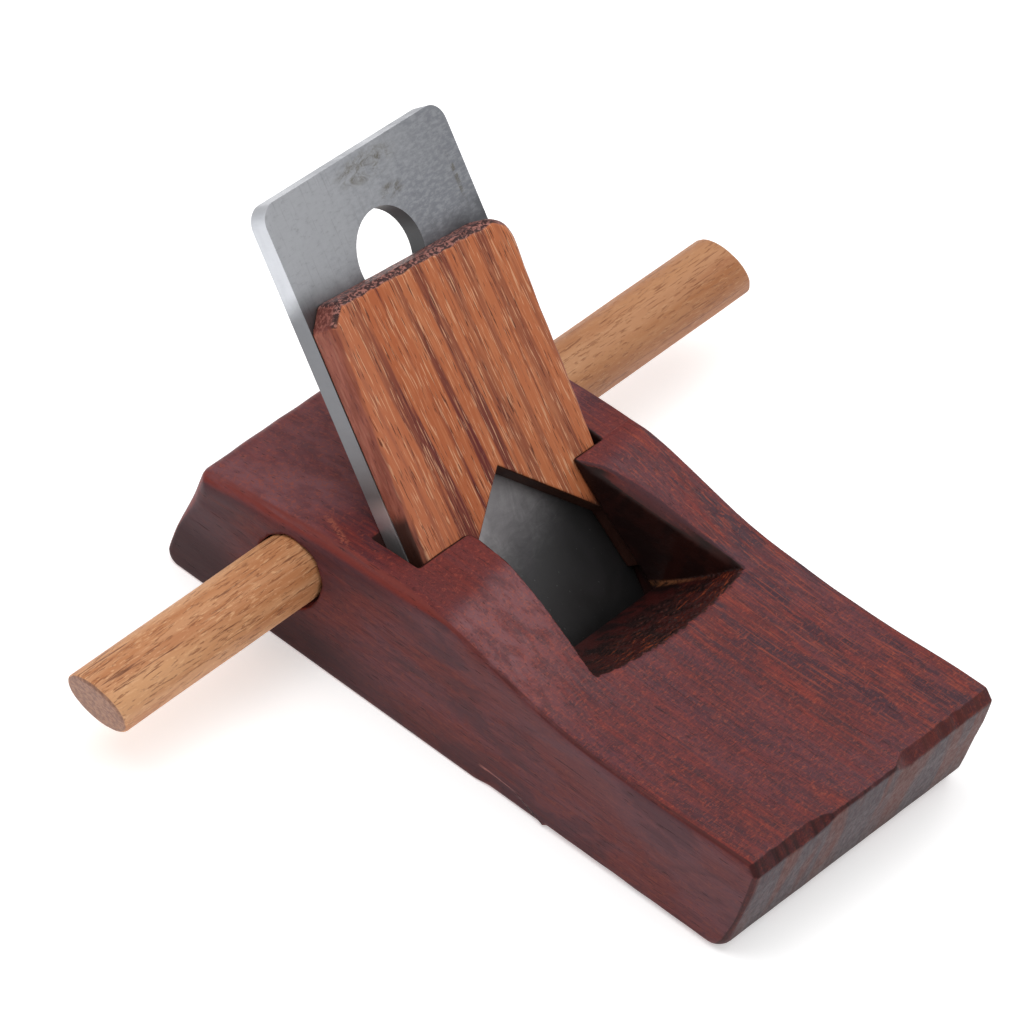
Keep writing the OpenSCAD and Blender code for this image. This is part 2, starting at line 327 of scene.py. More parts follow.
def surface_net(field, low, high, step):
    """Closed quad mesh of a field's surface: one vertex in each grid cell that it crosses."""
    axes = [np.arange(a - 1.5 * step, b + 2.5 * step, step) for a, b in zip(low, high)]
    value = np.empty([len(a) for a in axes], np.float32)
    for i in range(0, len(axes[0]), 16):
        value[i:i + 16] = field(*np.meshgrid(axes[0][i:i + 16], axes[1], axes[2], indexing="ij"))
    inside = value < 0
    corners = [(i, j, k) for i in (0, 1) for j in (0, 1) for k in (0, 1)]
    cells = [n - 1 for n in value.shape]
    count = sum(
        inside[i:i + cells[0], j:j + cells[1], k:k + cells[2]].astype(np.int8) for i, j, k in corners
    )
    crossed = (count > 0) & (count < 8)
    cell = np.argwhere(crossed)
    number = np.full(cells, -1, np.int64)
    number[crossed] = np.arange(len(cell))
    at = {c: value[tuple((cell + c).T)].astype(float) for c in corners}
    total = np.zeros((len(cell), 3))
    hits = np.zeros(len(cell))
    for a in corners:
        for axis in range(3):
            if a[axis]:
                continue
            b = tuple(1 if n == axis else a[n] for n in range(3))
            hit = (at[a] < 0) != (at[b] < 0)
            share = np.where(hit, at[a] / np.where(hit, at[a] - at[b], 1), 0)
            spot = np.tile(np.array(a, float), (len(cell), 1))
            spot[:, axis] = share
            total += spot * hit[:, None]
            hits += hit
    origin = np.array([a[0] for a in axes])
    points = origin + (cell + total / hits[:, None]) * step
    faces = []
    for axis in range(3):
        b, c = (axis + 1) % 3, (axis + 2) % 3
        first = [slice(None)] * 3
        second = [slice(None)] * 3
        first[axis], second[axis] = slice(0, -1), slice(1, None)
        here, there = inside[tuple(first)], inside[tuple(second)]
        for solid_first in (True, False):
            edge = np.argwhere((here == solid_first) & (there == (not solid_first)))
            step_b, step_c = np.eye(3, dtype=int)[b], np.eye(3, dtype=int)[c]
            ring = [edge - step_b - step_c, edge - step_c, edge, edge - step_b]
            quad = np.stack([number[tuple(r.T)] for r in ring], 1)
            faces.append(quad if solid_first else quad[:, ::-1])
    return points, np.concatenate(faces)


def mesh_object(name, points, faces, normals=None):
    """Blender mesh object from points in millimetres and an array of faces with equal sides."""
    mesh = bpy.data.meshes.new(name)
    sides = faces.shape[1]
    mesh.vertices.add(len(points))
    mesh.vertices.foreach_set("co", (points * MM).astype(np.float32).ravel())
    mesh.loops.add(faces.size)
    mesh.loops.foreach_set("vertex_index", faces.astype(np.int32).ravel())
    mesh.polygons.add(len(faces))
    mesh.polygons.foreach_set("loop_start", np.arange(0, faces.size, sides, dtype=np.int32))
    mesh.update(calc_edges=True)
    mesh.validate()
    mesh.shade_smooth()
    if normals is not None:
        mesh.normals_split_custom_set_from_vertices(normals.tolist())
    thing = bpy.data.objects.new(name, mesh)
    bpy.context.scene.collection.objects.link(thing)
    return thing


def thinned(points, faces, triangles):
    """Collapses a dense quad mesh to about that many triangles, most of them where it curves."""
    dense = mesh_object("dense", points, faces)
    thin = dense.modifiers.new("thin", "DECIMATE")
    thin.ratio = triangles / (2 * len(faces))
    graph = bpy.context.evaluated_depsgraph_get()
    mesh = bpy.data.meshes.new_from_object(dense.evaluated_get(graph))
    mesh.calc_loop_triangles()
    flat = np.empty(len(mesh.vertices) * 3, np.float32)
    mesh.vertices.foreach_get("co", flat)
    corner = np.empty(len(mesh.loop_triangles) * 3, np.int32)
    mesh.loop_triangles.foreach_get("vertices", corner)
    bpy.data.objects.remove(dense)
    bpy.data.meshes.remove(mesh)
    return flat.reshape(-1, 3).astype(float) / MM, corner.reshape(-1, 3)


def carved(name, field, low, high, step, triangles, turn=np.eye(3), shift=np.zeros(3)):
    """Mesh object of a field, thinned, turned and shifted, with its normals taken from the field."""
    points, faces = surface_net(field, low, high, step)
    points = settle(field, points, step / 2, 2)
    if 2 * len(faces) > triangles:
        points, faces = thinned(points, faces, triangles)
        points = settle(field, points, step / 2, 2)
    normals = slope_of(field, points, 0.08)
    normals /= np.maximum(np.linalg.norm(normals, axis=1), 1e-9)[:, None]
    return mesh_object(name, points @ turn.T + shift, faces, normals @ turn.T)


# the bed's own axes: -x runs up the bed from the cutting edge, z stands off it
BED_TURN = np.array([[BED_COS, 0, BED_SIN], [0, 1, 0], [-BED_SIN, 0, BED_COS]])
BED_SHIFT = np.array([EDGE_X, 0, 0])


BODY_TRIANGLES = 190000
WEDGE_TRIANGLES = 120000


def make_body():
    step = 0.44
    return carved("plane_body", body_field, BODY_LOW, BODY_HIGH, step, BODY_TRIANGLES)


def make_wedge():
    low = (-WEDGE_TOP_UP - 2, -HALF_WEDGE, 0)
    high = (-WEDGE_FOOT_UP, HALF_WEDGE, WEDGE_THICKNESS + 0.3)
    step = 0.3
    return carved("plane_wedge", wedge_field, low, high, step, WEDGE_TRIANGLES, BED_TURN, BED_SHIFT)


# ---------------------------------------------------------------- iron
def arc(centre, radius, start, stop, count):
    """Points on an arc, angles in degrees."""
    angles = np.radians(np.linspace(start, stop, count))
    return [(centre[0] + radius * math.cos(a), centre[1] + radius * math.sin(a)) for a in angles]


def make_iron():
    """Flat plate with two rounded upper corners, a round hole and a bevel ground on its back."""
    edge_x = -IRON_START
    top_x = edge_x - IRON_LENGTH
    corner = IRON_CORNER_R
    ground = IRON_THICKNESS / math.tan(GRIND_ANGLE)
    outline = [(edge_x, -HALF_IRON), (edge_x, HALF_IRON)]
    outline += arc((top_x + corner, HALF_IRON - corner), corner, 90, 180, 12)
    outline += arc((top_x + corner, -HALF_IRON + corner), corner, 180, 270, 12)
    hole = arc((-IRON_HOLE_UP, 0), IRON_HOLE_R, 0, 360, 73)[:-1]
    plate = bmesh.new()
    rims = []
    for ring in (outline, hole):
        front = [plate.verts.new((x * MM, y * MM, 0)) for x, y in ring]
        back = [plate.verts.new((x * MM, y * MM, -IRON_THICKNESS * MM)) for x, y in ring]
        rims.append((front, back))
    # the back starts further up the bed, so the lower end is ground to an edge
    for vert in rims[0][1][:2]:
        vert.co.x -= ground * MM
    for front, back in rims:
        for n in range(len(front)):
            m = (n + 1) % len(front)
            plate.faces.new((front[n], front[m], back[m], back[n]))
    for which in (0, 1):
        edges = []
        for rim in rims:
            verts = rim[which]
            edges += [plate.edges.get(pair) for pair in zip(verts, verts[1:] + verts[:1])]
        bmesh.ops.triangle_fill(plate, edges=edges, use_beauty=True)
    bmesh.ops.recalc_face_normals(plate, faces=plate.faces)
    bed = Matrix.Translation(Vector(BED_SHIFT * MM)) @ Matrix(BED_TURN.tolist()).to_4x4()
    bmesh.ops.transform(plate, matrix=bed, verts=plate.verts)
    mesh = bpy.data.meshes.new("plane_iron")
    plate.to_mesh(mesh)
    plate.free()
    iron = bpy.data.objects.new("plane_iron", mesh)
    bpy.context.scene.collection.objects.link(iron)
    soften = iron.modifiers.new("soften", "BEVEL")
    soften.width = 0.35 * MM
    soften.segments = 3
    soften.limit_method = "ANGLE"
    soften.angle_limit = math.radians(40)
    soften.harden_normals = True
    mesh.shade_smooth()
    return iron


# ---------------------------------------------------------------- cross handle
def make_handle():
    """Dowel with a few long shallow flats, cut off at one slant at both ends, arrises broken."""
    around = 128
    broken_r = 0.8
    turn = np.linspace(0, 2 * math.pi, around, endpoint=False)
    low_y = HANDLE_LOW[1] + HANDLE_SLANT * HANDLE_R
    high_y = HANDLE_HIGH[1] - HANDLE_SLANT * HANDLE_R
    rings = [(low_y, (HANDLE_R - broken_r) * share) for share in (0.0, 0.35, 0.7)]
    rings += [(low_y + broken_r * (1 - math.cos(a)), HANDLE_R - broken_r * (1 - math.sin(a)))
              for a in np.linspace(0, math.pi / 2, 8)]
    tail = [(low_y + high_y - y, r) for y, r in reversed(rings)]
    rings = rings + [(y, HANDLE_R) for y in np.arange(low_y + 2, high_y - 1.5, 1.5)] + tail
    points = []
    for y, r in rings:
        flats = 0.09 * np.maximum(0, np.cos(5 * turn + 0.4 * math.sin(y / 31))) ** 3
        waver = 0.03 * np.sin(2 * turn + y / 17) + 0.02 * np.sin(3 * turn - y / 7)
        radius = r * (1 - (flats + np.abs(waver)) / HANDLE_R)
        rise = radius * np.sin(turn)
        along = y - HANDLE_SLANT * rise
        points.append(np.stack([
            HANDLE_X + radius * np.cos(turn), along, HANDLE_Z + HANDLE_RISE * along + rise
        ], 1))
    ring = np.arange(around)
    faces = []
    for n in range(len(rings) - 1):
        a = n * around + ring
        b = n * around + np.roll(ring, -1)
        faces.append(np.stack([a, a + around, b + around, b], 1))
    handle = mesh_object("plane_cross_handle", np.concatenate(points), np.concatenate(faces))
    clean = bmesh.new()
    clean.from_mesh(handle.data)
    bmesh.ops.remove_doubles(clean, verts=clean.verts, dist=1e-7)
    bmesh.ops.recalc_face_normals(clean, faces=clean.faces)
    clean.to_mesh(handle.data)
    clean.free()
    handle.data.shade_smooth()
    return handle


# ---------------------------------------------------------------- materials
class Look:
    """Short calls that build one material's node tree.

    Places are in mm and directions are in the object's own axes or, with bed=True, in the bed's.
    """

    def __init__(self, name, bed=False):
        self.material = bpy.data.materials.new(name)
        self.material.use_nodes = True
        self.tree = self.material.node_tree
        self.shader = self.tree.nodes["Principled BSDF"]
        self.turn = (0, BED_ANGLE, 0) if bed else (0, 0, 0)
        shift = (EDGE_X * MM, 0, 0) if bed else (0, 0, 0)
        self.place = self.unturned("Object", shift, (MM, MM, MM))

    def unturned(self, output, shift, scale):
        """Texture coordinates with the bed's turn, shift and scale taken out."""
        node = self.tree.nodes.new("ShaderNodeMapping")
        node.vector_type = "TEXTURE"
        self.put(self.tree.nodes.new("ShaderNodeTexCoord").outputs[output], node.inputs["Vector"])
        node.inputs["Location"].default_value = shift
        node.inputs["Rotation"].default_value = self.turn
        node.inputs["Scale"].default_value = scale
        return node.outputs["Vector"]

    def put(self, value, socket):
        if isinstance(value, bpy.types.NodeSocket):
            self.tree.links.new(value, socket)
        elif value is not None:
            socket.default_value = value

    def grains(self, x, y, z, shift=(0, 0, 0)):
        """Place divided by a typical feature length in mm along each axis."""
        node = self.tree.nodes.new("ShaderNodeMapping")
        self.put(self.place, node.inputs["Vector"])
        node.inputs["Scale"].default_value = (1 / x, 1 / y, 1 / z)
        node.inputs["Location"].default_value = shift
        return node.outputs["Vector"]

    def noise(self, vector, detail=3, rough=0.55, warp=0.0):
        node = self.tree.nodes.new("ShaderNodeTexNoise")
        self.put(vector, node.inputs["Vector"])
        node.inputs["Scale"].default_value = 1
        node.inputs["Detail"].default_value = detail
        node.inputs["Roughness"].default_value = rough
        node.inputs["Distortion"].default_value = warp
        return node.outputs["Fac"]

    def step(self, value, low, high, out_low=0.0, out_high=1.0):
        """Smooth passage from out_low to out_high as the value goes from low to high."""
        node = self.tree.nodes.new("ShaderNodeMapRange")
        node.interpolation_type = "SMOOTHSTEP"
        self.put(value, node.inputs["Value"])
        backwards = low > high
        node.inputs["From Min"].default_value = high if backwards else low
        node.inputs["From Max"].default_value = low if backwards else high
        node.inputs["To Min"].default_value = out_high if backwards else out_low
        node.inputs["To Max"].default_value = out_low if backwards else out_high
        return node.outputs["Result"]

    def math(self, kind, a, b=None):
        node = self.tree.nodes.new("ShaderNodeMath")
        node.operation = kind
        self.put(a, node.inputs[0])
        self.put(b, node.inputs[1])
        return node.outputs["Value"]

    def both(self, first, *others):
        """Product of masks and numbers."""
        for other in others:
            first = self.math("MULTIPLY", first, other)
        return first

    def size(self, value):
        """Distance of a value from zero."""
        return self.math("ABSOLUTE", value)

    def along(self, x, y, z, shift=0.0):
        """Place measured along a direction, plus a shift, in mm."""
        node = self.tree.nodes.new("ShaderNodeVectorMath")
        node.operation = "DOT_PRODUCT"
        self.put(self.place, node.inputs[0])
        node.inputs[1].default_value = (x, y, z)
        return self.math("ADD", node.outputs["Value"], shift)

    def mix(self, share, a, b):
        node = self.tree.nodes.new("ShaderNodeMix")
        node.data_type = "RGBA"
        self.put(share, node.inputs["Factor"])
        self.put(a, [s for s in node.inputs if s.name == "A" and s.type == "RGBA"][0])
        self.put(b, [s for s in node.inputs if s.name == "B" and s.type == "RGBA"][0])
        return [s for s in node.outputs if s.type == "RGBA"][0]

    def tint(self, base, colour, *masks):
        """Lays a colour over the base, as strongly as the product of the masks."""
        return self.mix(self.both(*masks), base, colour)

    def leaning(self, lean):
        """Place with its y running askew: lean mm across for each mm along x."""
        node = self.tree.nodes.new("ShaderNodeCombineXYZ")
        self.put(self.along(1, 0, 0), node.inputs["X"])
        self.put(self.along(-lean, 1, 0), node.inputs["Y"])
        self.put(self.along(0, 0, 1), node.inputs["Z"])
        return node.outputs["Vector"]

    def axes(self, vector):
        """The three parts of a vector."""
        node = self.tree.nodes.new("ShaderNodeSeparateXYZ")
        self.put(vector, node.inputs["Vector"])
        return node.outputs

    def facing(self):
        """The three parts of the surface normal."""
        return self.axes(self.unturned("Normal", (0, 0, 0), (1, 1, 1)))

    def bump(self, height, depth, strength=1.0):
        node = self.tree.nodes.new("ShaderNodeBump")
        node.inputs["Strength"].default_value = strength
        node.inputs["Distance"].default_value = depth * MM
        self.put(height, node.inputs["Height"])
        return node.outputs["Normal"]

    def finish(self, colour, rough, normal=None, metal=0.0, specular=0.5):
        self.put(colour, self.shader.inputs["Base Color"])
        self.put(rough, self.shader.inputs["Roughness"])
        self.put(normal, self.shader.inputs["Normal"])
        self.shader.inputs["Metallic"].default_value = metal
        self.shader.inputs["Specular IOR Level"].default_value = specular
        return self.material


def srgb(r, g, b):
    """Linear colour from 0-255 display values."""
    parts = [c / 255 / 12.92 if c <= 10 else ((c / 255 + 0.055) / 1.055) ** 2.4 for c in (r, g, b)]
    return (*parts, 1.0)


def upper_wood(m, streak, broad):
    """Top of the body: red, clouded dark, with fine flecks across the grain toward the toe."""
    cloud = m.noise(m.grains(5, 3.2, 4, (5, 5, 2)), 4, 0.7, 0.5)
    bright = m.noise(m.grains(0.3, 1.5, 1.0, (1, 9, 4)), 3, 0.7, 0.7)
    dim = m.noise(m.grains(0.4, 1.1, 1.0, (7, 2, 4)), 3, 0.7, 0.7)
    fine = m.noise(m.grains(8, 0.42, 0.5, (6, 2, 8)), 4, 0.65, 0.15)
    curl = m.noise(m.grains(0.55, 0.7, 0.6, (2, 2, 9)), 3, 0.7, 0.9)
    toward_toe = m.step(m.along(1, -0.55, 0), -6, 22)
    far = m.step(m.along(-0.25, 1, 0), -8, 8)
    wood = m.mix(m.step(streak, 0.34, 0.66), srgb(84, 32, 36), srgb(124, 48, 42))
    wood = m.tint(wood, srgb(94, 50, 58), m.step(broad, 0.4, 0.62), 0.75)
    wood = m.tint(wood, srgb(66, 32, 38), m.step(cloud, 0.44, 0.66), 0.5)
    smoky = m.noise(m.grains(15, 5, 5, (9, 4, 3)), 3, 0.6, 0.9)
    wood = m.tint(wood, srgb(58, 34, 46), m.step(smoky, 0.5, 0.62), m.step(far, 0, 1, 0.35, 0.85))
    wood = m.tint(wood, srgb(56, 29, 35), m.step(dim, 0.48, 0.7), m.step(toward_toe, 0, 1, 0.1, 0.6))
    wood = m.tint(wood, srgb(154, 66, 46), m.step(bright, 0.5, 0.72), m.step(toward_toe, 0, 1, 0.1, 0.6))
    wood = m.tint(wood, srgb(150, 66, 46), m.step(fine, 0.5, 0.68), m.step(far, 0, 1, 0.25, 0.75))
    wood = m.tint(wood, srgb(66, 32, 38), m.step(fine, 0.46, 0.3), 0.5)
    wood = m.tint(wood, srgb(162, 76, 54), m.step(curl, 0.56, 0.7), 0.5)
    wood = m.tint(wood, srgb(64, 34, 42), m.step(curl, 0.44, 0.34), 0.5)
    # painted sheen: lighter, greyer wood on the near slope ahead of the ridge, and on the back of the top
    ahead = m.both(m.step(m.along(1, RIDGE_SKEW, 0, -RIDGE_X), -0.5, 3),
                   m.step(m.along(1, 0.6, 0), 4, -14), m.step(cloud, 0.62, 0.4, 0.25, 0.75))
    rear = m.both(m.step(m.along(1, -0.1, 0), -24, -36), m.step(broad, 0.3, 0.6, 0.6, 1.0))
    painted_sheen = m.math("MAXIMUM", ahead, m.both(rear, m.step(cloud, 0.66, 0.4, 0.5, 0.9)))
    wood = m.mix(painted_sheen, wood, srgb(128, 80, 84))
    wood = m.tint(wood, srgb(152, 76, 60), painted_sheen, m.step(curl, 0.5, 0.62), 0.7)
    # smooth red wood on the two lobes, just behind the ridge
    behind = m.both(m.step(m.along(1, RIDGE_SKEW, 0, -RIDGE_X), 1, -2),
                    m.step(m.along(1, 0, 0), -24, -17))
    wood = m.tint(wood, srgb(104, 34, 29), behind, 0.65)
    wood = m.tint(wood, srgb(142, 62, 48), m.step(curl, 0.55, 0.66), behind, 0.5)
    wood = m.tint(wood, srgb(64, 22, 22), m.step(curl, 0.45, 0.36), behind, 0.5)
    # one rough scratch behind the near cheek, askew to the grain
    across = m.step(m.size(m.along(0.447, 0.894, 0, 37.1)), 0.8, 0.2)
    lengthways = m.step(m.size(m.along(0.894, -0.447, 0, 15.0)), 4.6, 2.8)
    scratch = m.both(across, lengthways, m.step(curl, 0.42, 0.56))
    return m.tint(wood, srgb(160, 88, 68), scratch, 0.7)


def side_wood(m, streak, hair, broad):
    """Sides of the body: purple-grey with faint streaks, redder patches, darker low down."""
    patch = m.noise(m.grains(18, 8, 6, (8, 3, 1)), 4, 0.65, 0.8)
    wood = m.mix(m.step(streak, 0.3, 0.7), srgb(84, 46, 50), srgb(98, 56, 60))
    wood = m.tint(wood, srgb(98, 42, 38), m.step(patch, 0.4, 0.62), 0.75)
    wood = m.tint(wood, srgb(126, 68, 66), m.step(hair, 0.52, 0.68), 0.25)
    wood = m.tint(wood, srgb(56, 28, 32), m.step(hair, 0.44, 0.3), 0.45)
    fleck = m.noise(m.grains(1.6, 0.6, 0.6, (5, 2, 2)), 3, 0.7, 1.0)
    wood = m.tint(wood, srgb(118, 58, 46), m.step(fleck, 0.52, 0.64), 0.4)
    wood = m.tint(wood, srgb(60, 34, 42), m.step(fleck, 0.44, 0.34), 0.4)
    grey = m.both(m.step(m.along(FALL, 0, 1, -20), -6, -0.5), m.step(broad, 0.3, 0.55))
    wood = m.tint(wood, srgb(98, 70, 76), grey, 0.35)
    heel_grey = m.both(m.step(m.along(1, 0, 0), -38, -48), m.step(patch, 0.66, 0.5, 0.5, 1.0))
    wood = m.tint(wood, srgb(76, 58, 62), heel_grey, 0.7)
    dusk = m.both(m.step(m.noise(m.grains(16, 7, 6, (4, 9, 5)), 3, 0.6, 0.6), 0.5, 0.62), 0.5)
    wood = m.mix(dusk, wood, srgb(66, 42, 48))
    low = m.step(m.along(0.1, 0, 1), 7, 0)
    wood = m.tint(wood, srgb(50, 24, 26), low, 0.45)
    # painted shadow of the handle on the sides: darker behind x = -10 mm and below 12 mm
    handle_shadow = m.both(m.step(m.along(1, 0, 0), -10, -26), m.step(m.along(0, 0, 1), 12, 4))
    wood = m.tint(wood, srgb(46, 24, 26), handle_shadow, 0.5)
    # crack above the lower near edge: a pale line painted along the lifted fibre as its highlight, which
    # opens into a dark gap painted as the shade inside the crack
    x = m.along(1, 0, 0)
    near = m.step(m.along(0, -1, 0), 29, 29.8)
    rear_line = m.along(SPLINTER_REAR, 0, 1, -SPLINTER_Z - SPLINTER_REAR * SPLINTER_MID)
    pale = m.both(m.step(m.size(rear_line), 0.3, 0.1), m.step(x, 5.5, 7.5), m.step(x, 13.2, 12.2))
    front_line = m.along(SPLINTER_FRONT, 0, 1, -SPLINTER_Z - SPLINTER_FRONT * SPLINTER_MID)
    crack_shade = m.math("DIVIDE", m.size(front_line), m.step(x, 12, 17, 0.15, 0.5))
    crack_shade = m.both(m.step(crack_shade, 1.0, 0.6), m.step(x, 11.5, 12.5), m.step(x, 19, 18.5), near)
    pale = m.both(pale, near)
    wood = m.tint(wood, srgb(164, 100, 90), pale, 0.8)
    return m.mix(crack_shade, wood, srgb(16, 8, 8))


def end_wood(m):
    """Toe and heel faces: wide faint bands of grey and brown end grain, darker toward the sole."""
    band = m.noise(m.grains(30, 4.4, 22, (2, 4, 6)), 1, 0.5, 0.4)
    tick = m.noise(m.grains(3, 0.4, 1.3, (2, 4, 6)), 2, 0.6)
    wood = m.mix(m.step(band, 0.4, 0.6), srgb(66, 51, 57), srgb(86, 38, 30))
    wood = m.tint(wood, srgb(112, 72, 68), m.step(tick, 0.5, 0.66), 0.25)
    wood = m.tint(wood, srgb(48, 30, 34), m.step(tick, 0.46, 0.34), 0.35)
    return m.tint(wood, srgb(44, 22, 22), m.step(m.along(0, 0, 1), 9, 0.5), 0.7)


def throat_wood_and_shade(m, fx):
    """Wood in the throat with its shade painted in: nearly black cheeks, a dark red front wall, torn
    fibres.
    """
    stain_and_shade = m.noise(m.grains(5, 4, 5, (3, 3, 9)), 3, 0.6, 0.4)
    wood = m.mix(m.step(stain_and_shade, 0.4, 0.62), srgb(36, 18, 16), srgb(52, 24, 20))
    wall = m.step(fx, -0.35, -0.6)
    fibre = m.noise(m.grains(1.0, 4.5, 0.55, (4, 1, 2)), 4, 0.7, 1.0)
    front = m.mix(m.step(stain_and_shade, 0.42, 0.6), srgb(56, 18, 16), srgb(26, 10, 10))
    place = m.both(m.step(m.along(0, 0, 1), 10, 16), m.step(m.along(0, 1, 0), -16, -6, 0.1, 1.0))
    front = m.tint(front, srgb(140, 64, 36), m.step(fibre, 0.54, 0.66), place, 0.75)
    front = m.tint(front, srgb(16, 8, 7), m.step(fibre, 0.44, 0.34), 0.8)
    # pale torn fibres where the wall meets the far cheek
    seam = m.both(m.step(m.size(m.along(1, 0, -1.224, 6.97)), 1.2, 0.3),
                  m.step(m.size(m.along(0, 1, -0.13, -19.6)), 1.9, 0.5), m.step(fibre, 0.38, 0.52))
    return m.mix(m.both(seam, 0.8), m.mix(wall, wood, front), srgb(124, 78, 50))


def rosewood():
    """Dark red-brown wood of the body, face by face."""
    m = Look("rosewood")
    fx, fy, fz = m.facing()
    streak = m.noise(m.grains(30, 1.0, 1.0), 4, 0.6, 0.25)
    hair = m.noise(m.grains(8, 0.3, 0.3), 3, 0.6)
    broad = m.noise(m.grains(36, 10, 9, (3, 1, 7)), 2, 0.5, 0.6)
    side = m.step(m.size(fy), 0.72, 0.93)
    wood = m.mix(side, upper_wood(m, streak, broad), side_wood(m, streak, hair, broad))
    arris = m.both(m.step(m.size(fy), 0.3, 0.5), m.step(m.size(fy), 0.93, 0.75), m.step(fz, 0.25, 0.5))
    arris_wood = m.mix(m.step(m.along(1, 0, 0), -14, 6), srgb(116, 44, 36), srgb(74, 28, 27))
    wood = m.tint(wood, arris_wood, arris, m.step(streak, 0.3, 0.6, 0.35, 0.9))
    wood = m.mix(m.step(m.size(fx), 0.85, 0.97), wood, end_wood(m))
    # painted shade on the narrow bevel along the toe's upper edge: dark brown with ragged borders,
    # darkest on the near side
    ragged = m.noise(m.grains(20, 1.6, 20, (7, 7, 7)), 3, 0.6)
    bevel = m.both(m.step(fx, 0.25, 0.45), m.step(fx, 0.95, 0.85), m.step(m.along(1, 0, 0), 50, 51))
    toe_bevel_shade = m.mix(m.step(m.along(0, 1, 0), 4.5, 6), srgb(42, 20, 20), srgb(74, 32, 28))
    wood = m.tint(wood, toe_bevel_shade, bevel, m.step(ragged, 0.3, 0.62, 1.0, 0.5))
    # painted shade of the throat on the inner faces: the cheeks at once, the rest deeper than a
    # millimetre or so below the top
    deep = m.step(m.along(-FALL, 0, -1, FALL_Z), 0.3, 1.6)
    deep = m.both(deep, m.step(fz, 0.93, 0.82))
    cheek = m.both(m.step(m.size(fy), 0.4, 0.65), m.step(fz, 0.85, 0.7))
    within = m.both(m.step(m.size(m.along(0, 1, 0)), 25.4, 24.6), m.step(m.along(1, 0, 0), 17.5, 16.5),
                    m.step(m.along(1, 0, 0), -32, -30))
    wall = m.step(fx, -0.2, -0.4)
    inner = m.both(m.math("MAXIMUM", m.math("MAXIMUM", deep, cheek), wall), within)
    slant = m.both(m.step(fy, -0.12, -0.25), m.step(fz, 0.75, 0.85), m.step(m.along(0, 1, 0), 12, 13),
                   within)
    wood = m.tint(wood, srgb(66, 38, 44), slant, 0.8)
    wood = m.mix(inner, wood, throat_wood_and_shade(m, fx))
    pore = m.both(m.step(m.noise(m.grains(3.2, 0.22, 0.22, (1, 2, 3)), 2, 0.5), 0.64, 0.71), 0.6)
    wood = m.mix(pore, wood, srgb(36, 16, 18))
    height = m.math("SUBTRACT", m.both(hair, 0.7), pore)
    rough = m.step(streak, 0.3, 0.7, 0.44, 0.58)
    return m.finish(wood, rough, m.bump(height, 0.05, 0.7), specular=0.2)


def wedge_wood():
    """Orange-brown wood with dark red stripes, long pores and pale dashes; end grain on top."""
    m = Look("wedge_wood", bed=True)
    fx, fy, fz = m.facing()
    m.place = m.leaning(0.085)
    bend = m.noise(m.grains(60, 14, 30, (2, 2, 2)), 2, 0.5)
    stripe = m.noise(m.grains(110, 3.6, 14, (4, 1, 0)), 2, 0.5, 0.7)
    line = m.noise(m.grains(50, 1.3, 6, (2, 6, 3)), 3, 0.6, 0.5)
    fine = m.noise(m.grains(14, 0.5, 0.8), 3, 0.6, 0.3)
    rings = m.math("SINE", m.math("ADD", m.along(0, 1.25, 0), m.both(bend, 10)))
    rings = m.math("ADD", rings, m.both(m.math("SUBTRACT", stripe, 0.5), 5))
    wood = m.mix(m.step(rings, -0.7, 0.1), srgb(104, 40, 36), srgb(180, 98, 59))
    wood = m.mix(m.step(bend, 0.42, 0.58, 0, 0.5), wood, srgb(196, 118, 76))
    wood = m.tint(wood, srgb(104, 42, 35), m.step(line, 0.43, 0.36), 0.5)
    wood = m.mix(m.step(fine, 0.48, 0.7, 0, 0.45), wood, srgb(208, 136, 94))
    wood = m.tint(wood, srgb(198, 122, 88), m.step(m.along(0, 1, 0), -6, -18), 0.5)
    pale = m.step(m.noise(m.grains(5, 0.28, 0.5, (9, 3, 1)), 2, 0.5), 0.58, 0.66)
    wood = m.tint(wood, srgb(222, 168, 130), pale, 0.7)
    pore = m.step(m.noise(m.grains(3.5, 0.24, 0.4, (1, 7, 4)), 2, 0.5), 0.62, 0.68)
    wood = m.tint(wood, srgb(76, 32, 26), pore, 0.8)
    # end grain on top and on the cut-off near corner
    end = m.step(fx, -0.3, -0.5)
    dot = m.noise(m.grains(0.5, 0.7, 0.4, (3, 3, 3)), 2, 0.6, 0.4)
    grain = m.mix(m.step(dot, 0.46, 0.62), srgb(56, 28, 27), srgb(158, 104, 94))
    wood = m.mix(end, wood, grain)
    side_end = m.both(m.step(fy, -0.5, -0.8), 0.85)
    wood = m.mix(side_end, wood, m.mix(m.step(fine, 0.35, 0.7), srgb(112, 54, 46), srgb(146, 84, 72)))
    rim = m.both(m.step(fy, 0.3, 0.5), m.step(fz, 0.3, 0.5), m.step(fz, 0.93, 0.85))
    wood = m.tint(wood, srgb(112, 46, 42), rim, 0.7)
    # painted shade: the flanks of the notch and the hidden prongs are painted nearly black
    flank = m.both(m.step(m.along(-1, 0, 0), 36.5, 34.2), m.step(fz, 0.8, 0.5))
    prong_shade = m.math("MAXIMUM", flank, m.step(m.along(-1, 0, 0), 23, 19))
    wood = m.tint(wood, srgb(44, 26, 20), prong_shade, 0.88)
    height = m.math("SUBTRACT", m.both(fine, 0.5), pore)
    rough = m.step(stripe, 0.35, 0.65, 0.46, 0.56)
    return m.finish(wood, rough, m.bump(height, 0.07, 0.7), specular=0.25)


